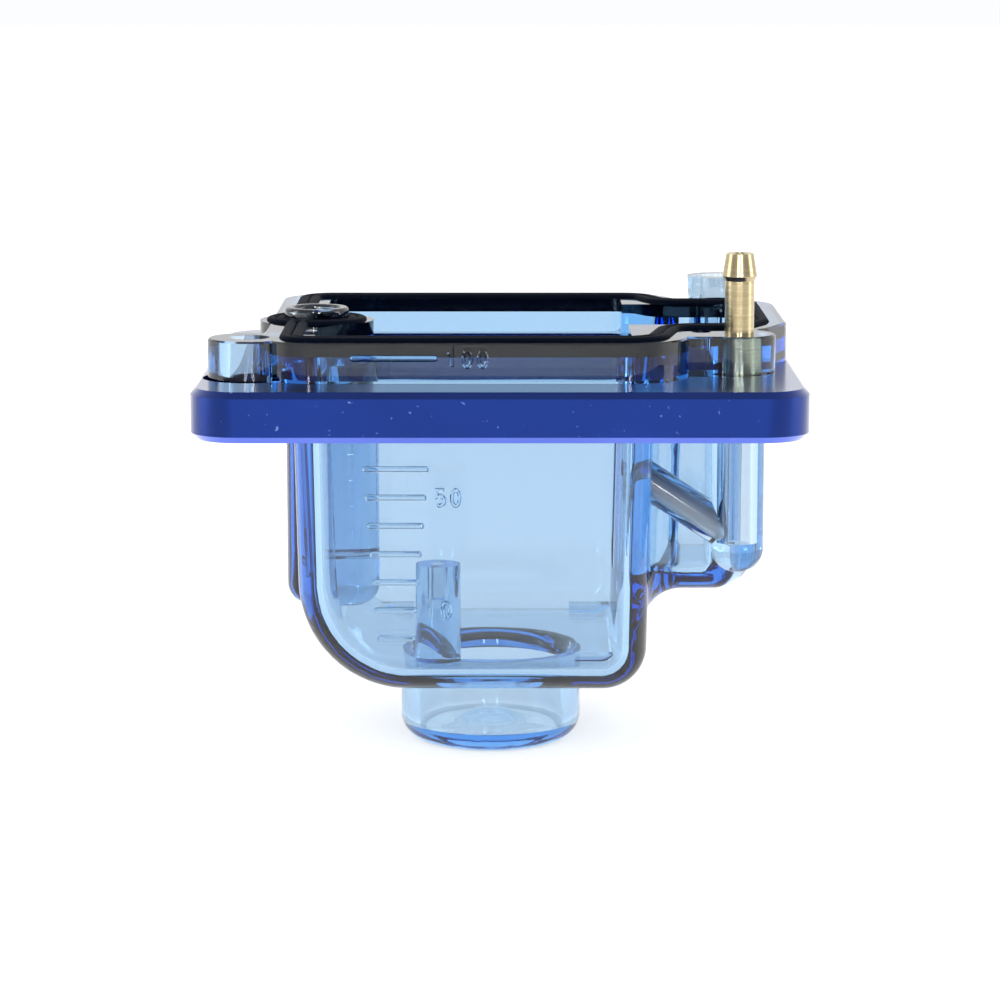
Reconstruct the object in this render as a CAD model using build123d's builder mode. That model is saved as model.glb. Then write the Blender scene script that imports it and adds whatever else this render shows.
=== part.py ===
"""A clear moulded float bowl for a small carburettor, in its aluminium clamp ring.

Millimetres. X runs across the front, Y from front to back, Z up. The origin is on the bench under
the centre of the clamp ring, at the height of the sump's flat bottom, on which the part stands.
"""
import math
import os

from build123d import *

# ---- Heights ---------------------------------------------------------------------------------
SUMP_DROP = 9.0            # the round sump below the chamber
CHAMBER_DEPTH = 30.3       # underside of the ring down to the underside of the chamber
RING_THICKNESS = 5.6
FLANGE_THICKNESS = 4.5     # the bowl's flange, which sits on top of the ring
POCKET_DEPTH = 21.0        # underside of the ring down to the underside of the side pocket
WELL_DEPTH = 23.6          # underside of the ring down to the foot of the starter well
BOSS_DEPTH = 17.2          # underside of the ring down to the foot of the fuel boss

CHAMBER_BOTTOM = SUMP_DROP
RING_BOTTOM = CHAMBER_BOTTOM + CHAMBER_DEPTH
RING_TOP = RING_BOTTOM + RING_THICKNESS
FLANGE_TOP = RING_TOP + FLANGE_THICKNESS
POCKET_BOTTOM = RING_BOTTOM - POCKET_DEPTH
WELL_BOTTOM = RING_BOTTOM - WELL_DEPTH
BOSS_BOTTOM = RING_BOTTOM - BOSS_DEPTH

# ---- Walls and draft --------------------------------------------------------------------------
WALL = 2.6                 # side walls
FLOOR = 2.3                # floors of the chamber, the pocket and the sump
DRAFT = 1.3                # degrees, all standing walls
CHAMBER_EDGE_ROUND = 4.4   # outer edges of the front and back walls
INSIDE_EDGE_ROUND = 1.8    # the same edges inside, so that the wall keeps its thickness

# ---- Plan of the chamber and the seal that runs round its rim ------------------------------------
CHAMBER_LEFT = -23.4
CHAMBER_RIGHT = 17.4
CHAMBER_FRONT = -20.0
CHAMBER_BACK = 27.0
LEFT_CORNER_ROUND = 12.5   # the large round under the left side, seen from the front
RIGHT_CORNER_ROUND = 5.0
POCKET_FRONT = -7.2
POCKET_BACK = 20.2
POCKET_RIGHT = 30.0
POCKET_BEVEL_X = 2.6       # the bevel at the pocket's front right corner
POCKET_BEVEL_Y = 5.7
POCKET_CORNER_ROUND = 2.0  # in plan; less would touch the clamp ring at the back right
POCKET_EDGE_ROUND = 3.4    # round its underside
POCKET_INSIDE_ROUND = 1.2
POCKET_BLEND = 4.5         # where its underside runs into the chamber's right wall
SHOULDER_RUN = 2.4         # how far the shoulder between chamber and pocket slopes outwards
SEAL_INSET = 0.2           # the seal's middle line inside the chamber's right face
FLANGE_MARGIN = 3.3        # seal's middle line out to the flange's edge
FLANGE_EDGE = 0.2          # chamfer round the top

# ---- Clamp ring ------------------------------------------------------------------------------
RING_WIDTH = 68.0
RING_LENGTH = 62.0
RING_CORNER = 5.4
RING_CHAMFER = 0.7
RING_CLEARANCE = 0.6       # ring to the chamber, all round
SEAT_CLEARANCE = 0.6       # round the front left lug in its seat
SEAT_DEPTH = 0.8

# ---- Screws ----------------------------------------------------------------------------------
SCREW_HOLE = 4.5           # clearance for M4
FRONT_LEFT_SCREW = (-28.0, -17.4)
REAR_RIGHT_SCREW = (27.0, 25.4)
LEFT_LUG_RADIUS = 4.7
FRONT_STEP_EDGE = -17.0    # front edge of the flange's step at the right
FRONT_STEP_INSET = 0.82    # where the step ends, inside the barb lug's outer edge
REAR_LUG_RADIUS = 3.7
REAR_LUG_RISE = 2.8
REAR_LUG_FLARE = 4         # degrees, it widens upwards
BLIND_HOLE_AT = (22.8, -11.9)    # the small hole in the flange, beside the hose barb
BLIND_HOLE = 2.2
BLIND_HOLE_DEPTH = 1.8

# ---- Gasket ----------------------------------------------------------------------------------
GASKET_WIDTH = 2.4
GASKET_GROOVE_DEPTH = 1.7
GASKET_PROUD = 0.4
GASKET_SIDE_GAP = 0.1
BEAD_GROOVE = 0.7          # the channel between the gasket's two beads
BEAD_GROOVE_DEPTH = 0.45
BEAD_ROUND = 0.25

# ---- Starter well ------------------------------------------------------------------------------
WELL_AT = (-21.4, 1.0)
WELL_PAD_RADIUS = 6.65     # round pad of the flange about the well
WELL_NECK_RADIUS = 3.75
WELL_NECK_RISE = 1.5
WELL_NECK_ROUND = 0.45     # round the top of the neck, inside and out
WELL_BORE = 5.2            # down to the ring's underside
WELL_LOWER_BORE = 2.8      # from there to the foot
WELL_BORE_DEPTH = 19.0     # underside of the ring down to the end of the lower bore
WELL_COLUMN_RADIUS = 3.7
WELL_FOOT_ROUND = 2.6
WELL_RING_WIDTH = 1.9      # the gasket's ring about the neck
RIB_OFFSET = 3.9           # the column's rib, towards the middle of the chamber
RIB_RADIUS = 3.3
WELL_INLET = 1.2           # cross hole that lets fuel into the foot of the well
WELL_INLET_RISE = 1.6      # above the end of the bore

# ---- Fuel boss and hose barb ---------------------------------------------------------------------
BARB_AT = (27.0, -13.5)
BARB_LUG_RADIUS = 4.1
BOSS_RADIUS = 3.0
BOSS_FOOT_ROUND = 2.8
BOSS_BORE = 3.0
BOSS_BORE_DEPTH = 13.8
BARB_STEM = 3.3
BARB_TIP = 3.1
BARB_HEAD = 3.9
BARB_EDGE = 0.15
BARB_LENGTH = 9.1          # above the flange
BARB_CONE = 2.5
BARB_UNDERCUT = 0.6
BARB_INSERT = 8.0          # pressed into the boss
BARB_BORE = 1.8
PASSAGE_BORE = 1.8
PASSAGE_TUBE = 4.2
PASSAGE_LOW = -13.4        # where the drilled passage meets the boss, below the ring's underside
PASSAGE_HIGH = -6.2        # where it meets the chamber

# ---- Sump and floor ------------------------------------------------------------------------------
SUMP_AT = (-1.1, -0.8)
SUMP_RADIUS = 10.6
SUMP_WALL = 2.2
SUMP_DRAFT = 0.4           # degrees
SUMP_EDGE_ROUND = 3.0
SUMP_MOUTH_ROUND = 1.9     # where the chamber's floor turns down into the sump
GATE_BASE_RADIUS = 4.5
GATE_TOP_RADIUS = 2.0
GATE_HEIGHT = 1.2
POST_AT = (-7.1, -10.9)
POST_RADIUS = 2.65
POST_HEIGHT = 11.4
POST_DRAFT = 0.5           # degrees
POST_BORE = 1.6
POST_BORE_DEPTH = 4.0
PAD_LENGTH = 6.0
PAD_WIDTH = 2.6
PAD_HEIGHT = 0.9
PAD_PLACES = ((11.6, -11.4), (11.5, 19.6), (-13.6, 19.6))

# ---- Level scale on the front ----------------------------------------------------------------------
SCALE_MIDDLE = -11.7
SCALE_ZERO = RING_BOTTOM - 23.7
SCALE_STEP = 3.21
SCALE_VISIBLE_STEPS = 7    # marks below the ring, from 0 to 60
SCALE_FIRST_LENGTH = 4.3
SCALE_GROWTH = 0.54        # each mark is this much longer than the one below
SCALE_STROKE = 0.7
SCALE_RELIEF = 0.45
SCALE_ROUND = 0.32         # round the front of the marks
NUMERAL_ROUND = 0.12
NUMERAL_HEIGHT = 2.2
NUMERAL_STROKE = 0.42
NUMERAL_PITCH = 1.7
NUMERAL_GAP = 0.7          # from the end of the mark to the numeral
ONE_FLAG = 0.5             # the numerals' heights are parts of half their height
FIVE_BOWL_TOP = 0.15
FIVE_BOWL_MIDDLE = -0.4
FIVE_TAIL = -0.85

SEAM_REACH = 0.01          # tolerance for picking an edge by its level
SQUARE_ON = 0.99           # how squarely a face looks to the front to count as facing it

os.makedirs("parts", exist_ok=True)

WELL_X, WELL_Y = WELL_AT
RIB_AT = (WELL_X + RIB_OFFSET, WELL_Y)
WELL_INLET_LEVEL = RING_BOTTOM - WELL_BORE_DEPTH + WELL_INLET_RISE
BARB_X, BARB_Y = BARB_AT
FLANGE_FRONT = CHAMBER_FRONT - FLANGE_MARGIN
POCKET_ROOT = CHAMBER_RIGHT - 3 * WALL    # the pocket starts here, well inside the chamber


def front_plane(y):
    """A vertical plane facing the front, at depth y; its local axes are X and Z."""
    return Plane(origin=(0, y, 0), x_dir=(1, 0, 0), z_dir=(0, -1, 0))


# ---- The seal's middle line: every other outline in plan is offset from it ---------------------------
SEAL_CORNERS = (
    ((CHAMBER_LEFT, CHAMBER_FRONT), 2.6),
    ((CHAMBER_RIGHT - SEAL_INSET, CHAMBER_FRONT), 4.0),
    ((CHAMBER_RIGHT - SEAL_INSET + SHOULDER_RUN, POCKET_FRONT), 3.6),
    ((POCKET_RIGHT - POCKET_BEVEL_X, POCKET_FRONT), 1.8),
    ((POCKET_RIGHT, POCKET_FRONT + POCKET_BEVEL_Y), 2.0),
    ((POCKET_RIGHT, POCKET_BACK), 3.0),
    ((CHAMBER_RIGHT - SEAL_INSET + SHOULDER_RUN, POCKET_BACK), 3.0),
    ((CHAMBER_RIGHT - SEAL_INSET, CHAMBER_BACK), 3.0),
    ((CHAMBER_LEFT, CHAMBER_BACK), 2.8),
)

with BuildSketch() as seal_plan:
    with BuildLine():
        FilletPolyline(
            *[corner for corner, _ in SEAL_CORNERS],
            radius=[radius for _, radius in SEAL_CORNERS],
            close=True,
        )
    make_face()

# ---- Flange outline ----------------------------------------------------------------------------------
with BuildSketch() as flange_plan:
    offset(seal_plan.sketch, amount=FLANGE_MARGIN)
    with Locations(WELL_AT):
        Circle(WELL_PAD_RADIUS)
    with Locations(FRONT_LEFT_SCREW):
        Circle(LEFT_LUG_RADIUS)
    with Locations(BARB_AT):
        Circle(BARB_LUG_RADIUS)
    with Locations(REAR_RIGHT_SCREW):
        Circle(REAR_LUG_RADIUS)
    with BuildLine():
        Polyline(
            (CHAMBER_RIGHT, POCKET_FRONT),
            (CHAMBER_RIGHT, FRONT_STEP_EDGE),
            (BARB_X, FRONT_STEP_EDGE),
            (BARB_X + BARB_LUG_RADIUS - FRONT_STEP_INSET, POCKET_FRONT),
            close=True,
        )
    make_face()

# ---- Chamber ---------------------------------------------------------------------------------------


def chamber_section(inset, floor_level, top_level):
    """Front view of the chamber, its walls moved inwards by inset."""
    slope = math.tan(math.radians(DRAFT)) * (top_level - floor_level)
    left = CHAMBER_LEFT + inset
    right = CHAMBER_RIGHT - inset
    with BuildLine() as walls:
        outline = FilletPolyline(
            (left, top_level),
            (left + slope, floor_level),
            (right - slope, floor_level),
            (right, top_level),
            radius=[LEFT_CORNER_ROUND - inset, RIGHT_CORNER_ROUND - inset],
        )
        Line(outline @ 1, outline @ 0)
    make_face(walls.edges())


with BuildPart() as chamber_outside:
    with BuildSketch(front_plane(CHAMBER_FRONT)):
        chamber_section(0, CHAMBER_BOTTOM, RING_TOP)
    extrude(amount=-(CHAMBER_BACK - CHAMBER_FRONT))
    front_edges = chamber_outside.faces().sort_by(Axis.Y)[0].edges().sort_by(Axis.Z)[:-1]
    back_edges = chamber_outside.faces().sort_by(Axis.Y)[-1].edges().sort_by(Axis.Z)[:-1]
    fillet(front_edges + back_edges, radius=CHAMBER_EDGE_ROUND)

with BuildPart() as chamber_inside:
    with BuildSketch(front_plane(CHAMBER_FRONT + WALL)):
        chamber_section(WALL, CHAMBER_BOTTOM + FLOOR, FLANGE_TOP)
    extrude(amount=-(CHAMBER_BACK - CHAMBER_FRONT - 2 * WALL))
    front_edges = chamber_inside.faces().sort_by(Axis.Y)[0].edges().sort_by(Axis.Z)[:-1]
    back_edges = chamber_inside.faces().sort_by(Axis.Y)[-1].edges().sort_by(Axis.Z)[:-1]
    fillet(front_edges + back_edges, radius=INSIDE_EDGE_ROUND)

# ---- Side pocket --------------------------------------------------------------------------------------


def pocket_outline(inset, left):
    """Plan of the side pocket, its outer walls moved inwards by inset."""
    right = POCKET_RIGHT - inset
    front = POCKET_FRONT + inset
    back = POCKET_BACK - inset
    with BuildLine() as walls:
        outline = FilletPolyline(
            (left, front),
            (right - POCKET_BEVEL_X, front),
            (right, front + POCKET_BEVEL_Y),
            (right, back),
            (left, back),
            radius=POCKET_CORNER_ROUND,
        )
        Line(outline @ 1, outline @ 0)
    make_face(walls.edges())


with BuildPart() as pocket_outside:
    with BuildSketch(Plane.XY.offset(RING_TOP)):
        pocket_outline(0, POCKET_ROOT)
    extrude(amount=-(RING_TOP - POCKET_BOTTOM), taper=DRAFT)
    underside = pocket_outside.faces().sort_by(Axis.Z)[0].edges().sort_by(Axis.X)[1:]
    fillet(underside, radius=POCKET_EDGE_ROUND)

with BuildPart() as outer_walls:
    add(chamber_outside.part)
    add(pocket_outside.part)
    seam = outer_walls.edges().filter_by(Axis.Y).filter_by_position(
        Axis.Z, POCKET_BOTTOM - SEAM_REACH, POCKET_BOTTOM + SEAM_REACH
    ).filter_by_position(Axis.X, CHAMBER_RIGHT - WALL, CHAMBER_RIGHT)
    fillet(seam, radius=POCKET_BLEND)

with BuildPart() as pocket_inside:
    with BuildSketch(Plane.XY.offset(FLANGE_TOP)):
        pocket_outline(WALL, POCKET_ROOT)
    extrude(amount=-(FLANGE_TOP - POCKET_BOTTOM - FLOOR), taper=DRAFT)
    underside = pocket_inside.faces().sort_by(Axis.Z)[0].edges().sort_by(Axis.X)[1:]
    fillet(underside, radius=POCKET_INSIDE_ROUND)

# ---- Gasket plan: the loop round the rim and a ring about the starter well's neck -----------------------
WELL_RING_INSIDE = WELL_NECK_RADIUS + GASKET_SIDE_GAP
WELL_RING_OUTSIDE = WELL_RING_INSIDE + WELL_RING_WIDTH


def gasket_outline(grow):
    """The gasket seen from above, each side moved outwards by grow."""
    offset(seal_plan.sketch, amount=GASKET_WIDTH / 2 + grow)
    offset(seal_plan.sketch, amount=-GASKET_WIDTH / 2 - grow, mode=Mode.SUBTRACT)
    with Locations(WELL_AT):
        Circle(WELL_RING_OUTSIDE + grow)
        Circle(WELL_RING_INSIDE - grow, mode=Mode.SUBTRACT)


def bead_channel():
    """The channel that parts the gasket's face into two beads."""
    middle = (WELL_RING_INSIDE + WELL_RING_OUTSIDE) / 2
    offset(seal_plan.sketch, amount=BEAD_GROOVE / 2)
    offset(seal_plan.sketch, amount=-BEAD_GROOVE / 2, mode=Mode.SUBTRACT)
    with Locations(WELL_AT):
        Circle(middle + BEAD_GROOVE / 2)
        Circle(middle - BEAD_GROOVE / 2, mode=Mode.SUBTRACT)


# ---- Starter well column, with its rib --------------------------------------------------------------------
with BuildPart() as well_column:
    with BuildSketch(Plane.XY.offset(RING_TOP)):
        with Locations(WELL_AT):
            Circle(WELL_COLUMN_RADIUS)
        with Locations(RIB_AT):
            Circle(RIB_RADIUS)
        make_hull()
    extrude(amount=-(RING_TOP - WELL_BOTTOM))
    fillet(well_column.faces().sort_by(Axis.Z)[0].edges(), radius=WELL_FOOT_ROUND)

# ---- Fuel boss and the drilled passage's tube ----------------------------------------------------------
PASSAGE_START = Vector(BARB_X, BARB_Y, RING_BOTTOM + PASSAGE_LOW)
PASSAGE_END = Vector(CHAMBER_RIGHT - WALL / 2, BARB_Y, RING_BOTTOM + PASSAGE_HIGH)
PASSAGE_RUN = PASSAGE_END - PASSAGE_START
passage_plane = Plane(origin=PASSAGE_START, z_dir=PASSAGE_RUN)

with BuildPart() as fuel_boss:
    with BuildSketch(Plane.XY.offset(RING_TOP)):
        with Locations(BARB_AT):
            Circle(BOSS_RADIUS)
    extrude(amount=-(RING_TOP - BOSS_BOTTOM))
    fillet(fuel_boss.faces().sort_by(Axis.Z)[0].edges(), radius=BOSS_FOOT_ROUND)
    with BuildSketch(passage_plane):
        Circle(PASSAGE_TUBE / 2)
    extrude(amount=PASSAGE_RUN.length)

# ---- Sump ------------------------------------------------------------------------------------------
with BuildPart() as sump_outside:
    with BuildSketch(Plane.XY.offset(CHAMBER_BOTTOM + FLOOR / 2)):
        with Locations(SUMP_AT):
            Circle(SUMP_RADIUS)
    extrude(amount=-(SUMP_DROP + FLOOR / 2), taper=SUMP_DRAFT)
    fillet(sump_outside.faces().sort_by(Axis.Z)[0].edges(), radius=SUMP_EDGE_ROUND)

# ---- Level scale ---------------------------------------------------------------------------------------


def numeral(digit, x, z):
    """One raised digit of plain round strokes, its middle at x, z."""
    half = NUMERAL_HEIGHT / 2 - NUMERAL_STROKE / 2
    side = NUMERAL_PITCH / 2 - NUMERAL_STROKE
    if digit == "0":
        with Locations((x, z)):
            Ellipse(side + NUMERAL_STROKE / 2, half + NUMERAL_STROKE / 2)
            Ellipse(side - NUMERAL_STROKE / 2, half - NUMERAL_STROKE / 2, mode=Mode.SUBTRACT)
        return
    with BuildLine(mode=Mode.PRIVATE) as stroke:
        if digit == "1":
            Polyline((x - side, z + half * ONE_FLAG), (x, z + half), (x, z - half))
        else:
            bowl_top = (x - side, z + half * FIVE_BOWL_TOP)
            Polyline((x + side, z + half), (x - side, z + half), bowl_top)
            ThreePointArc(
                bowl_top,
                (x + side, z + half * FIVE_BOWL_MIDDLE),
                (x - side, z + half * FIVE_TAIL),
            )
    trace(stroke.line, line_width=NUMERAL_STROKE)


def facing_front(face):
    """Whether a face looks straight to the front."""
    return face.normal_at().Y < -SQUARE_ON


def mark_length(step):
    """Length of the mark at a step of the scale."""
    return SCALE_FIRST_LENGTH + SCALE_GROWTH * step


def level_mark(step):
    """One bar of the scale, with rounded ends."""
    with Locations((SCALE_MIDDLE, SCALE_ZERO + SCALE_STEP * step)):
        SlotOverall(mark_length(step), SCALE_STROKE)


def level_figure(step, text):
    """The number that stands to the right of a mark."""
    first = SCALE_MIDDLE + mark_length(step) / 2 + NUMERAL_GAP + NUMERAL_PITCH / 2
    for place, digit in enumerate(text):
        numeral(digit, first + place * NUMERAL_PITCH, SCALE_ZERO + SCALE_STEP * step)


with BuildPart() as level_scale:
    with BuildSketch(front_plane(CHAMBER_FRONT - SCALE_RELIEF)):
        for step in range(SCALE_VISIBLE_STEPS):
            level_mark(step)
    extrude(amount=-2 * SCALE_RELIEF)
    with BuildSketch(front_plane(FLANGE_FRONT - SCALE_RELIEF)):
        level_mark(10)
    extrude(amount=-2 * SCALE_RELIEF)
    fillet(level_scale.faces().filter_by(facing_front).edges(), SCALE_ROUND)

with BuildPart() as level_numerals:
    with BuildSketch(front_plane(CHAMBER_FRONT - SCALE_RELIEF)):
        level_figure(1, "10")
        level_figure(5, "50")
    extrude(amount=-2 * SCALE_RELIEF)
    with BuildSketch(front_plane(FLANGE_FRONT - SCALE_RELIEF)):
        level_figure(10, "100")
    extrude(amount=-2 * SCALE_RELIEF)
    chamfer(level_numerals.faces().filter_by(facing_front).edges(), NUMERAL_ROUND)

# ---- The bowl ------------------------------------------------------------------------------------------
with BuildPart() as bowl:
    with BuildSketch(Plane.XY.offset(RING_TOP)):
        add(flange_plan.sketch)
    extrude(amount=FLANGE_THICKNESS)
    chamfer(bowl.edges().group_by(Axis.Z)[-1], length=FLANGE_EDGE)
    add(outer_walls.part)
    add(sump_outside.part)
    # the front left lug's foot, in the ring's seat
    with BuildSketch(Plane.XY.offset(RING_TOP)):
        with Locations(FRONT_LEFT_SCREW):
            Circle(LEFT_LUG_RADIUS)
    extrude(amount=-SEAT_DEPTH)
    # hollows
    add(chamber_inside.part, mode=Mode.SUBTRACT)
    add(pocket_inside.part, mode=Mode.SUBTRACT)
    with BuildSketch(Plane.XY.offset(CHAMBER_BOTTOM + FLOOR)):
        with Locations(SUMP_AT):
            Circle(SUMP_RADIUS - SUMP_WALL)
    extrude(amount=-SUMP_DROP, mode=Mode.SUBTRACT)
    sump_mouth = bowl.edges(Select.LAST).filter_by(GeomType.CIRCLE).sort_by(Axis.Z)[-1]
    fillet(sump_mouth, radius=SUMP_MOUTH_ROUND)
    # columns that stand in the hollow
    add(well_column.part)
    add(fuel_boss.part)
    with BuildSketch(Plane.XY.offset(RING_TOP)):
        with Locations(WELL_AT):
            Circle(WELL_PAD_RADIUS)
    extrude(amount=FLANGE_THICKNESS)
    with BuildSketch(Plane.XY.offset(FLANGE_TOP)):
        with Locations(WELL_AT):
            Circle(WELL_NECK_RADIUS)
    extrude(amount=WELL_NECK_RISE)
    neck_rim = bowl.edges().sort_by(Axis.Z)[-1]
    fillet(neck_rim, radius=WELL_NECK_ROUND)
    with BuildSketch(Plane.XY.offset(FLANGE_TOP)):
        with Locations(REAR_RIGHT_SCREW):
            Circle(REAR_LUG_RADIUS)
    extrude(amount=REAR_LUG_RISE, taper=-REAR_LUG_FLARE)
    # post, pads and gate mark on the floors
    with BuildSketch(Plane.XY.offset(CHAMBER_BOTTOM + FLOOR)):
        with Locations(POST_AT):
            Circle(POST_RADIUS)
    extrude(amount=POST_HEIGHT, taper=POST_DRAFT)
    with BuildSketch(Plane.XY.offset(CHAMBER_BOTTOM + FLOOR)):
        with Locations(*PAD_PLACES):
            Rectangle(PAD_LENGTH, PAD_WIDTH)
    extrude(amount=PAD_HEIGHT)
    with Locations((*SUMP_AT, FLOOR)):
        Cone(GATE_BASE_RADIUS, GATE_TOP_RADIUS, GATE_HEIGHT, align=(Align.CENTER, Align.CENTER, Align.MIN))
    add(level_scale.part)
    add(level_numerals.part)
    # bores
    with BuildSketch(Plane.XY.offset(FLANGE_TOP + WELL_NECK_RISE)):
        with Locations(WELL_AT):
            Circle(WELL_BORE / 2)
    extrude(amount=-(FLANGE_TOP + WELL_NECK_RISE - RING_BOTTOM), mode=Mode.SUBTRACT)
    mouth = bowl.edges(Select.LAST).sort_by(Axis.Z)[-1]
    fillet(mouth, radius=WELL_NECK_ROUND)
    with BuildSketch(Plane.XY.offset(RING_BOTTOM)):
        with Locations(WELL_AT):
            Circle(WELL_LOWER_BORE / 2)
    extrude(amount=-WELL_BORE_DEPTH, mode=Mode.SUBTRACT)
    with BuildSketch(Plane(origin=(WELL_X, WELL_Y, WELL_INLET_LEVEL), z_dir=(1, 0, 0))):
        Circle(WELL_INLET / 2)
    extrude(amount=WELL_BORE + RIB_OFFSET + RIB_RADIUS, mode=Mode.SUBTRACT)
    with BuildSketch(Plane.XY.offset(FLANGE_TOP)):
        with Locations(BARB_AT):
            Circle(BARB_STEM / 2)
    extrude(amount=-BARB_INSERT, mode=Mode.SUBTRACT)
    with BuildSketch(Plane.XY.offset(FLANGE_TOP)):
        with Locations(BARB_AT):
            Circle(BOSS_BORE / 2)
    extrude(amount=-(FLANGE_TOP - RING_BOTTOM + BOSS_BORE_DEPTH), mode=Mode.SUBTRACT)
    with BuildSketch(passage_plane):
        Circle(PASSAGE_BORE / 2)
    extrude(amount=PASSAGE_RUN.length + WALL, mode=Mode.SUBTRACT)
    with BuildSketch(Plane.XY.offset(CHAMBER_BOTTOM + FLOOR + POST_HEIGHT)):
        with Locations(POST_AT):
            Circle(POST_BORE / 2)
    extrude(amount=-POST_BORE_DEPTH, mode=Mode.SUBTRACT)
    with BuildSketch(Plane.XY.offset(FLANGE_TOP + REAR_LUG_RISE)):
        with Locations(FRONT_LEFT_SCREW, REAR_RIGHT_SCREW):
            Circle(SCREW_HOLE / 2)
    extrude(amount=-(REAR_LUG_RISE + FLANGE_THICKNESS + SEAT_DEPTH), mode=Mode.SUBTRACT)
    with BuildSketch(Plane.XY.offset(FLANGE_TOP)):
        with Locations(BLIND_HOLE_AT):
            Circle(BLIND_HOLE / 2)
    extrude(amount=-BLIND_HOLE_DEPTH, mode=Mode.SUBTRACT)
    # the gasket's groove
    with BuildSketch(Plane.XY.offset(FLANGE_TOP)):
        gasket_outline(GASKET_SIDE_GAP)
    extrude(amount=-GASKET_GROOVE_DEPTH, mode=Mode.SUBTRACT)
bowl.part.label = "bowl"
export_step(bowl.part, "parts/bowl.step")

# ---- Gasket -------------------------------------------------------------------------------------------
with BuildPart() as gasket:
    with BuildSketch(Plane.XY.offset(FLANGE_TOP - GASKET_GROOVE_DEPTH)):
        gasket_outline(0)
    extrude(amount=GASKET_GROOVE_DEPTH + GASKET_PROUD)
    with BuildSketch(Plane.XY.offset(FLANGE_TOP + GASKET_PROUD)):
        bead_channel()
    extrude(amount=-BEAD_GROOVE_DEPTH, mode=Mode.SUBTRACT)
    fillet(gasket.faces().sort_by(Axis.Z).group_by(Axis.Z)[-1].edges(), radius=BEAD_ROUND)
gasket.part.label = "gasket"
export_step(gasket.part, "parts/gasket.step")

# ---- Clamp ring -----------------------------------------------------------------------------------------
with BuildPart() as clamp_ring:
    with BuildSketch(Plane.XY.offset(RING_BOTTOM)):
        RectangleRounded(RING_WIDTH, RING_LENGTH, RING_CORNER)
    extrude(amount=RING_THICKNESS)
    rims = clamp_ring.faces().sort_by(Axis.Z)
    chamfer(rims[0].edges() + rims[-1].edges(), length=RING_CHAMFER)
    with BuildSketch(Plane.XY.offset(RING_BOTTOM)):
        offset(seal_plan.sketch, amount=RING_CLEARANCE)
        with Locations(WELL_AT):
            Circle(WELL_COLUMN_RADIUS + RING_CLEARANCE)
        with Locations(BARB_AT):
            Circle(BOSS_RADIUS + RING_CLEARANCE)
    extrude(amount=RING_THICKNESS, mode=Mode.SUBTRACT)
    with BuildSketch(Plane.XY.offset(RING_BOTTOM)):
        with Locations(FRONT_LEFT_SCREW, REAR_RIGHT_SCREW):
            Circle(SCREW_HOLE / 2)
    extrude(amount=RING_THICKNESS, mode=Mode.SUBTRACT)
    with BuildSketch(Plane.XY.offset(RING_TOP)):
        with Locations(FRONT_LEFT_SCREW):
            Circle(LEFT_LUG_RADIUS + SEAT_CLEARANCE)
    extrude(amount=-SEAT_DEPTH, mode=Mode.SUBTRACT)
clamp_ring.part.label = "clamp_ring"
export_step(clamp_ring.part, "parts/clamp_ring.step")

# ---- Hose barb ------------------------------------------------------------------------------------------
HEAD_TOP = FLANGE_TOP + BARB_LENGTH
HEAD_EDGE = HEAD_TOP - BARB_CONE
with BuildPart() as hose_barb:
    with BuildSketch(Plane(origin=(BARB_X, BARB_Y, 0), x_dir=(1, 0, 0), z_dir=(0, -1, 0))):
        with BuildLine():
            Polyline(
                (BARB_BORE / 2, FLANGE_TOP - BARB_INSERT),
                (BARB_STEM / 2, FLANGE_TOP - BARB_INSERT),
                (BARB_STEM / 2, HEAD_EDGE - BARB_UNDERCUT),
                (BARB_HEAD / 2, HEAD_EDGE),
                (BARB_TIP / 2, HEAD_TOP),
                (BARB_BORE / 2, HEAD_TOP),
                close=True,
            )
        make_face()
    revolve(axis=Axis((BARB_X, BARB_Y, 0), (0, 0, 1)))
    chamfer(hose_barb.faces().sort_by(Axis.Z)[-1].edges(), length=BARB_EDGE)
hose_barb.part.label = "hose_barb"
export_step(hose_barb.part, "parts/hose_barb.step")
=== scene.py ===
"""Looks of the clear float bowl in its blue clamp ring: mesh pieces, materials, light and camera.

Metres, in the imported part's own frame. Lengths in the code are written in millimetres times MM.
"""
import math

import bmesh
import bpy
import numpy as np
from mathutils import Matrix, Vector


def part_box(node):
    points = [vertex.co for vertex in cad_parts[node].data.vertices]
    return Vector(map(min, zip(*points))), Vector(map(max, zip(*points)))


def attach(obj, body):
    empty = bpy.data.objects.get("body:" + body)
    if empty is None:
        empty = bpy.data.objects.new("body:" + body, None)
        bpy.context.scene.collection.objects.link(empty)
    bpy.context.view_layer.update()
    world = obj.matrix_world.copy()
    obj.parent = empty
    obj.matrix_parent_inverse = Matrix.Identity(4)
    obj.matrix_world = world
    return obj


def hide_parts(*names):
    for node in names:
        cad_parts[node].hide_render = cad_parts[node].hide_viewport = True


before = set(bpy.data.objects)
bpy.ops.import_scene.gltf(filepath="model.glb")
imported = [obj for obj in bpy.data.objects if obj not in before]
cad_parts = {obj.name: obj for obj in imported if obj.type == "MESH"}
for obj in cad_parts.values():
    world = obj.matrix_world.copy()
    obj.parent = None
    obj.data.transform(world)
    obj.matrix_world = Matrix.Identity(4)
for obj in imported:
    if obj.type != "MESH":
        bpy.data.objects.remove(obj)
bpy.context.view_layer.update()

MM = 0.001
SKIN = 0.01 * MM  # keeps two pieces that touch from sharing one and the same surface
WELD = 1e-7  # metres, far less than any edge of the mesh
CHAMFER_DOWN = -0.7  # upward part of the normal of a face that slopes down at 45 degrees
CHAMFER_SPREAD = 0.1

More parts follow.
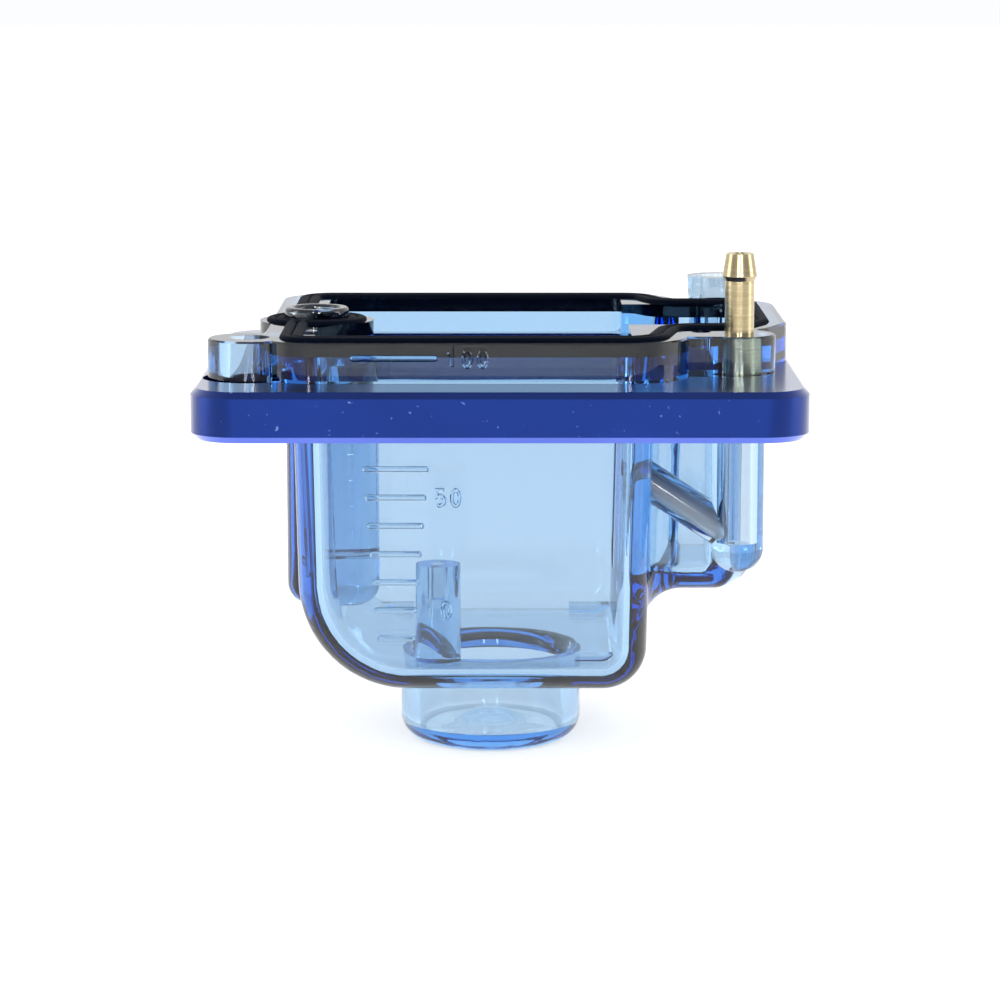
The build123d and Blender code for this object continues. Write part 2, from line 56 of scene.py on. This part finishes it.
# ---- Camera ------------------------------------------------------------------------------------
camera = bpy.data.objects.new("camera", bpy.data.cameras.new("camera"))
camera.data.sensor_width = 36
camera.data.lens = 127.8
camera.data.clip_start = 0.01
camera.location = (0, -0.4121, 0.0949)
camera.rotation_euler = (math.radians(80.8), 0, 0)
bpy.context.scene.collection.objects.link(camera)
bpy.context.scene.camera = camera


# ---- Materials -----------------------------------------------------------------------------------
def colour(hex_code):
    """An sRGB hex colour as linear RGBA."""
    srgb = [int(hex_code[i : i + 2], 16) / 255 for i in (1, 3, 5)]
    return [v / 12.92 if v <= 0.04045 else ((v + 0.055) / 1.055) ** 2.4 for v in srgb] + [1.0]


def node(tree, kind, settings=None, links=None, **values):
    """Adds one node: settings are its own properties, values its unlinked inputs, and links the sockets
    that feed it."""
    made = tree.nodes.new(kind)
    for name, value in (settings or {}).items():
        setattr(made, name, value)
    for name, value in values.items():
        made.inputs[name.replace("_", " ")].default_value = value
    for name, socket in (links or {}).items():
        tree.links.new(socket, made.inputs[name])
    return made


def new_material(name):
    """An empty material and its node tree."""
    material = bpy.data.materials.new(name)
    material.use_nodes = True
    material.node_tree.nodes.clear()
    return material, material.node_tree


def blue_polycarbonate(name, roughness, clarity):
    """Polycarbonate, tinted blue and moulded in a polished tool: thin walls look pale, and a long way
    through it blue. A faint ripple is left by the flow of the melt. A drilled face is rougher and less
    clear, because the drill tears it, so it looks frosted."""
    material, tree = new_material(name)
    place = node(tree, "ShaderNodeTexCoord")
    flow = node(
        tree, "ShaderNodeTexNoise", links={"Vector": place.outputs["Object"]}, Scale=90.0, Detail=1.0
    )
    ripple = node(
        tree,
        "ShaderNodeBump",
        links={"Height": flow.outputs["Fac"]},
        Strength=0.08,
        Distance=0.0002,
    )
    surface = node(
        tree,
        "ShaderNodeBsdfPrincipled",
        links={"Normal": ripple.outputs["Normal"]},
        Base_Color=colour("#E9EAEC"),
        Roughness=roughness,
        IOR=1.58,
        Transmission_Weight=clarity,
    )
    body = node(tree, "ShaderNodeVolumeAbsorption", Color=(0.0, 0.56, 0.95, 1.0), Density=132.0)
    node(
        tree,
        "ShaderNodeOutputMaterial",
        links={"Surface": surface.outputs["BSDF"], "Volume": body.outputs["Volume"]},
    )
    return material


def blue_anodised_aluminium(name, deep, light, roughness):
    """Aluminium, milled and then anodised blue: the dye tints the metal under a clear oxide skin, which
    adds a pale sheen at a low angle. The mill leaves fine lines along the faces and lighter specks."""
    material, tree = new_material(name)
    place = node(tree, "ShaderNodeTexCoord")
    grain = node(
        tree,
        "ShaderNodeMapping",
        links={"Vector": place.outputs["Object"]},
        Scale=(60.0, 60.0, 5000.0),
    )
    lines = node(
        tree, "ShaderNodeTexNoise", links={"Vector": grain.outputs["Vector"]}, Scale=1.0, Detail=3.0
    )
    clouds = node(
        tree, "ShaderNodeTexNoise", links={"Vector": place.outputs["Object"]}, Scale=70.0, Detail=3.0
    )
    shade = node(tree, "ShaderNodeMix", {"data_type": "RGBA"}, {"Factor": clouds.outputs["Fac"]})
    shade.inputs["A"].default_value = colour(deep)
    shade.inputs["B"].default_value = colour(light)
    specks = node(
        tree, "ShaderNodeTexNoise", links={"Vector": place.outputs["Object"]}, Scale=1500.0, Detail=1.0
    )
    rare = node(
        tree,
        "ShaderNodeMapRange",
        links={"Value": specks.outputs["Fac"]},
        From_Min=0.74,
        From_Max=0.82,
        To_Max=0.5,
    )
    speckled = node(
        tree,
        "ShaderNodeMix",
        {"data_type": "RGBA"},
        {"Factor": rare.outputs["Result"], "A": shade.outputs["Result"]},
    )
    speckled.inputs["B"].default_value = colour("#8FA6E0")
    tooth = node(
        tree,
        "ShaderNodeBump",
        links={"Height": lines.outputs["Fac"]},
        Strength=0.2,
        Distance=0.00004,
    )
    surface = node(
        tree,
        "ShaderNodeBsdfPrincipled",
        links={"Normal": tooth.outputs["Normal"]},
        Metallic=1.0,
        Roughness=roughness,
        Coat_Weight=1.0,
        Coat_Roughness=0.15,
        Coat_IOR=1.3,
    )
    tree.links.new(speckled.outputs[2], surface.inputs["Base Color"])
    node(tree, "ShaderNodeOutputMaterial", links={"Surface": surface.outputs["BSDF"]})
    return material


def moulded_nitrile_rubber():
    """Nitrile rubber, compression moulded: near black, with a soft shine on its beads and a fine bloom."""
    material, tree = new_material("moulded_nitrile_rubber")
    place = node(tree, "ShaderNodeTexCoord")
    bloom = node(
        tree, "ShaderNodeTexNoise", links={"Vector": place.outputs["Object"]}, Scale=2500.0, Detail=4.0
    )
    shade = node(
        tree, "ShaderNodeMix", {"data_type": "RGBA"}, {"Factor": bloom.outputs["Fac"]}
    )
    shade.inputs["A"].default_value = colour("#04070E")
    shade.inputs["B"].default_value = colour("#0B1220")
    pores = node(
        tree,
        "ShaderNodeBump",
        links={"Height": bloom.outputs["Fac"]},
        Strength=0.12,
        Distance=0.00003,
    )
    surface = node(
        tree,
        "ShaderNodeBsdfPrincipled",
        links={"Base Color": shade.outputs["Result"], "Normal": pores.outputs["Normal"]},
        Roughness=0.6,
        IOR=1.5,
        Specular_IOR_Level=0.03,
        Specular_Tint=colour("#A9BFE6"),
    )
    node(tree, "ShaderNodeOutputMaterial", links={"Surface": surface.outputs["BSDF"]})
    return material


def turned_brass():
    """Free cutting brass, turned on a lathe: bright yellow, with fine rings left by the tool."""
    material, tree = new_material("turned_brass")
    place = node(tree, "ShaderNodeTexCoord")
    feed = node(
        tree,
        "ShaderNodeMapping",
        links={"Vector": place.outputs["Object"]},
        Scale=(60.0, 60.0, 9000.0),
    )
    rings = node(
        tree, "ShaderNodeTexNoise", links={"Vector": feed.outputs["Vector"]}, Scale=1.0, Detail=2.0
    )
    groove = node(
        tree,
        "ShaderNodeBump",
        links={"Height": rings.outputs["Fac"]},
        Strength=0.25,
        Distance=0.00004,
    )
    shade = node(
        tree, "ShaderNodeMix", {"data_type": "RGBA"}, {"Factor": rings.outputs["Fac"]}
    )
    shade.inputs["A"].default_value = colour("#A8946C")
    shade.inputs["B"].default_value = colour("#DCCDA8")
    surface = node(
        tree,
        "ShaderNodeBsdfPrincipled",
        links={"Base Color": shade.outputs["Result"], "Normal": groove.outputs["Normal"]},
        Metallic=1.0,
        Roughness=0.22,
    )
    node(tree, "ShaderNodeOutputMaterial", links={"Surface": surface.outputs["BSDF"]})
    return material


# ---- Pieces ----------------------------------------------------------------------------------------
def dress(piece, finish, slot, *stands_for):
    """Gives a piece its material, its place on the part and the CAD nodes it stands for. The slot argument is
    not used.
    """
    piece.data.materials.clear()
    piece.data.materials.append(finish)
    bpy.context.scene.collection.objects.link(piece)
    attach(piece, "root")
    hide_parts(*stands_for)


def smooth(piece, sharp=30):
    """Smooth shading but for edges sharper than the angle; large flat faces keep their own direction."""
    piece.data.shade_smooth()
    piece.data.set_sharp_from_angle(angle=math.radians(sharp))
    flats = piece.modifiers.new("flats_stay_flat", "WEIGHTED_NORMAL")
    flats.keep_sharp = True
    flats.weight = 80


def welded(name, source):
    """A copy of a CAD node, with its loose triangles joined along their edges."""
    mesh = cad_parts[source].data.copy()
    joined = bmesh.new()
    joined.from_mesh(mesh)
    bmesh.ops.remove_doubles(joined, verts=joined.verts, dist=WELD)
    joined.to_mesh(mesh)
    joined.free()
    for stale in ("custom_normal", "sharp_edge", "sharp_face"):
        if stale in mesh.attributes:
            mesh.attributes.remove(mesh.attributes[stale])
    return bpy.data.objects.new(name, mesh)


def closed_surface(name, *grids):
    """A mesh of grids of points, each closed in both directions: every point is joined to the next one
    along its row and to the one beside it in the next row, and the last to the first."""
    points, quads, first = [], [], 0
    for grid in grids:
        number = np.arange(grid.shape[0] * grid.shape[1]).reshape(grid.shape[:2]) + first
        beside = np.roll(number, -1, 0)
        quads.append(
            np.stack([number, beside, np.roll(beside, -1, 1), np.roll(number, -1, 1)], -1).reshape(-1, 4)
        )
        points.append(grid.reshape(-1, 3))
        first += number.size
    mesh = bpy.data.meshes.new(name)
    mesh.from_pydata(np.concatenate(points).tolist(), [], np.concatenate(quads).tolist())
    outward = bmesh.new()
    outward.from_mesh(mesh)
    bmesh.ops.recalc_face_normals(outward, faces=outward.faces)
    outward.to_mesh(mesh)
    outward.free()
    return bpy.data.objects.new(name, mesh)


def turned(profile, middle, steps=160):
    """A profile turned about a standing axis: the point at radius r and height h goes round a circle of
    radius r about the middle, at height h."""
    angle = np.linspace(0, 2 * np.pi, steps, endpoint=False)[:, None]
    radius, height = profile[:, 0], profile[:, 1]
    return np.stack(
        [
            middle[0] + radius * np.cos(angle),
            middle[1] + radius * np.sin(angle),
            height + 0 * angle,
        ],
        -1,
    )


def rounded_loop(corners, radii, steps=20):
    """Points along a closed line of straight runs and arcs, with the direction to its outside at each.

    At a corner that turns by an angle t, the arc of radius r starts r tan(t/2) before it, and its points
    lie at r from a centre that is r to the side of that start."""
    corners = np.array(corners)
    ahead = np.roll(corners, -1, 0) - corners
    ahead /= np.linalg.norm(ahead, axis=1, keepdims=True)
    back = np.roll(ahead, 1, 0)
    turn = np.arctan2(back[:, 0] * ahead[:, 1] - back[:, 1] * ahead[:, 0], (back * ahead).sum(1))
    side = np.sign(turn)
    radii = np.array(radii)
    start = corners - back * (radii * np.tan(abs(turn) / 2))[:, None]
    left = np.stack([-back[:, 1], back[:, 0]], -1)
    centre = start + left * (side * radii)[:, None]
    part = turn[:, None] * np.linspace(0, 1, steps)
    heading = np.arctan2(back[:, 1], back[:, 0])[:, None] + part
    out = np.stack([np.sin(heading), -np.cos(heading)], -1)
    points = centre[:, None] + out * (side * radii)[:, None, None]
    return points.reshape(-1, 2), out.reshape(-1, 2)


def carried(profile, points, out):
    """A profile carried along a line: the point at s across and height h lies at the line's point plus s
    times the direction out, at height h."""
    across, height = profile[:, 0], profile[:, 1]
    flat = points[:, None] + out[:, None] * across[None, :, None]
    return np.concatenate([flat, np.broadcast_to(height[:, None], flat.shape[:2] + (1,))], -1)


polycarbonate = blue_polycarbonate("moulded_blue_polycarbonate", 0.02, 1.0)
drilled = blue_polycarbonate("drilled_blue_polycarbonate", 0.25, 0.45)
anodised = blue_anodised_aluminium("milled_blue_anodised_aluminium", "#02246C", "#063288", 0.3)
# lighter blues for the chamfer that faces down: painted reflection of the bright floor under the ring
chamfer_painted_reflection = blue_anodised_aluminium("blue_anodised_aluminium_painted_floor_reflection", "#4C66D8", "#6B84EA", 0.22)
rubber = moulded_nitrile_rubber()
brass = turned_brass()

bowl = welded("clear_bowl", "bowl")
smooth(bowl)
dress(bowl, polycarbonate, "clear_blue_plastic", "bowl")
# the drilled passage runs from the foot of the fuel boss up to the chamber's wall
PASSAGE = np.array([(27.0, -13.5, 25.9), (16.1, -13.5, 33.1)]) * MM
PASSAGE_REACH = 1.0 * MM  # a little more than its radius
middles = np.zeros(len(bowl.data.polygons) * 3)
bowl.data.polygons.foreach_get("center", middles)
middles = middles.reshape(-1, 3) - PASSAGE[0]
along = (PASSAGE[1] - PASSAGE[0]) / np.linalg.norm(PASSAGE[1] - PASSAGE[0])
run = middles @ along
off = np.linalg.norm(middles - run[:, None] * along, axis=1)
bowl.data.materials.append(drilled)
bowl.data.polygons.foreach_set("material_index", ((off < PASSAGE_REACH) & (run > 0)).astype(np.int32))

# the ring's top is SKIN lower, so that it and the flange on it stay two surfaces
ring = welded("anodised_ring", "clamp_ring")
ring_low, ring_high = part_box("clamp_ring")
points = np.zeros(len(ring.data.vertices) * 3)
ring.data.vertices.foreach_get("co", points)
points[2::3] = np.minimum(points[2::3], ring_high.z - SKIN)
ring.data.vertices.foreach_set("co", points)
smooth(ring)
dress(ring, anodised, "anodised_aluminium", "clamp_ring")
# faces sloping down at 45 degrees take the lighter copy, a painted reflection of the floor below
tilt = np.zeros(len(ring.data.polygons) * 3)
ring.data.polygons.foreach_get("normal", tilt)
ring.data.materials.append(chamfer_painted_reflection)
ring.data.polygons.foreach_set(
    "material_index", (abs(tilt[2::3] - CHAMFER_DOWN) < CHAMFER_SPREAD).astype(np.int32)
)

# ---- Gasket: a loop and a ring of the same two-bead section, bedded SKIN into the walls of their groove ----
gasket_low, gasket_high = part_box("gasket")
GROOVE = 2.6 * MM  # width of the groove round the rim
BEAD_HEIGHT = 0.45 * MM
RIM_CORNERS = np.array([
    (-23.4, -20.0), (17.2, -20.0), (19.6, -7.2), (27.4, -7.2), (30.0, -1.5),
    (30.0, 20.2), (19.6, 20.2), (17.2, 27.0), (-23.4, 27.0),
]) * MM
RIM_ROUNDS = np.array([2.6, 4.0, 3.6, 1.8, 2.0, 3.0, 3.0, 3.0, 2.8]) * MM
WELL = np.array([-21.4, 1.0]) * MM
NECK_RING = (3.75 * MM, 5.85 * MM)  # inner and outer radius of the groove about the well's neck


def two_beads(width):
    """Section of the gasket, s across and h up: its top is two humps, each half an ellipse as wide as
    half the section, and its foot and sides are straight."""
    half = width / 2 + SKIN
    hump = np.linspace(np.pi, 0, 15)
    crest = gasket_high.z - BEAD_HEIGHT
    humps = [
        np.stack([side * half / 2 + half / 2 * np.cos(hump), crest + BEAD_HEIGHT * np.sin(hump)], -1)
        for side in (-1, 1)
    ]
    foot = np.array([(half, gasket_low.z - SKIN), (-half, gasket_low.z - SKIN)])
    return np.concatenate([humps[0], humps[1][1:], foot])


rim = carried(two_beads(GROOVE), *rounded_loop(RIM_CORNERS, RIM_ROUNDS))
neck_section = two_beads(NECK_RING[1] - NECK_RING[0])
neck_section[:, 0] += sum(NECK_RING) / 2
gasket = closed_surface("rim_gasket", rim, turned(neck_section, WELL))
smooth(gasket, 50)
dress(gasket, rubber, "nitrile_rubber", "gasket")

# ---- Hose barb: turned, with a rounded rim and a fine undercut below its head --------------------------
barb_low, barb_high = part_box("hose_barb")
barb_middle = ((barb_low.x + barb_high.x) / 2, (barb_low.y + barb_high.y) / 2)


def quarter(middle, radius, start, end, steps=7):
    """Points on an arc about middle, from the start angle to the end angle in degrees."""
    angle = np.radians(np.linspace(start, end, steps))
    return np.array(middle) + radius * np.stack([np.cos(angle), np.sin(angle)], -1)


# radius and height below the tip, from the foot of the bore round the outside to the top of the bore
barb_profile = np.concatenate([
    [(0.9, -17.1), (1.45, -17.1), (1.66, -16.8), (1.66, -3.2)],
    quarter((1.78, -3.14), 0.12, 210, 120, 4),
    quarter((1.80, -2.56), 0.15, -40, 14),
    quarter((1.40, -0.15), 0.15, 14, 90),
    quarter((1.02, -0.12), 0.12, 90, 180, 5),
]) * MM
barb_profile[:, 1] += barb_high.z
barb = closed_surface("brass_barb", turned(barb_profile, barb_middle))
smooth(barb, 40)
dress(barb, brass, "turned_brass", "hose_barb")

# ---- Floor, light and background -----------------------------------------------------------------------
floor = bpy.data.objects.new("floor", bpy.data.meshes.new("floor"))
floor.data.from_pydata([(-3, -3, 0), (3, -3, 0), (3, 3, 0), (-3, 3, 0)], [], [(0, 1, 2, 3)])
bpy.context.scene.collection.objects.link(floor)
paper, paper_tree = new_material("white_paper")
paper_place = node(paper_tree, "ShaderNodeTexCoord")
paper_depth = node(paper_tree, "ShaderNodeSeparateXYZ", links={"Vector": paper_place.outputs["Object"]})
# painted glow, as if lit from below like a light table, fading as painted light towards the camera's side,
# the dim side of the room
painted_glow = node(
    paper_tree,
    "ShaderNodeMapRange",
    {"interpolation_type": "SMOOTHSTEP"},
    {"Value": paper_depth.outputs["Y"]},
    From_Min=-0.32,
    From_Max=-0.1,
    To_Min=0.02,
    To_Max=0.52,
)
paper_surface = node(
    paper_tree,
    "ShaderNodeBsdfPrincipled",
    links={"Emission Strength": painted_glow.outputs["Result"]},
    Base_Color=colour("#E2E2E2"),
    Roughness=0.9,
    Emission_Color=colour("#FFFFFF"),
)
node(paper_tree, "ShaderNodeOutputMaterial", links={"Surface": paper_surface.outputs["BSDF"]})
floor.data.materials.append(paper)

world = bpy.data.worlds.new("studio")
bpy.context.scene.world = world
world.use_nodes = True
studio = world.node_tree
studio.nodes.clear()
around = node(studio, "ShaderNodeTexCoord")
# the room is white behind the object and low down, and dim overhead and on the camera's side
lean = node(
    studio, "ShaderNodeVectorMath", {"operation": "DOT_PRODUCT"}, {"Vector": around.outputs["Generated"]}
)
lean.inputs[1].default_value = (0.0, 0.85, -0.5)
dusk = node(
    studio,
    "ShaderNodeMapRange",
    {"interpolation_type": "SMOOTHSTEP"},
    {"Value": lean.outputs["Value"]},
    From_Min=-0.55,
    From_Max=0.45,
    To_Min=0.5,
    To_Max=1.0,
)
air = node(
    studio,
    "ShaderNodeBackground",
    links={"Strength": dusk.outputs["Result"]},
    Color=(0.97, 0.985, 1.0, 1.0),
)
node(studio, "ShaderNodeOutputWorld", links={"Surface": air.outputs["Background"]})


def softbox(name, place, aim, width, height, power):
    """A rectangular lamp at place, turned to face aim."""
    lamp = bpy.data.objects.new(name, bpy.data.lights.new(name, "AREA"))
    lamp.data.shape = "RECTANGLE"
    lamp.data.size = width
    lamp.data.size_y = height
    lamp.data.energy = power
    way = np.subtract(aim, place)
    across = math.hypot(way[0], way[1])
    lamp.location = place
    lamp.rotation_euler = (math.atan2(across, -way[2]), 0, math.atan2(way[1], way[0]) - math.pi / 2)
    bpy.context.scene.collection.objects.link(lamp)


softbox("back_light", (0, 1.35, 0.6), (0, 1.35, 0), 3.0, 2.8, 6)
softbox("left_light", (-0.6, -0.05, 0.2), (0, 0, 0.03), 0.25, 0.5, 1.0)
softbox("right_light", (0.6, -0.05, 0.2), (0, 0, 0.03), 0.25, 0.5, 1.0)
softbox("left_front_strip", (-0.16, -0.8, 0.35), (0, 0, 0.03), 0.05, 0.6, 2.2)
softbox("right_front_strip", (0.16, -0.8, 0.35), (0, 0, 0.03), 0.05, 0.6, 2.2)

bpy.context.scene.view_settings.view_transform = "Standard"
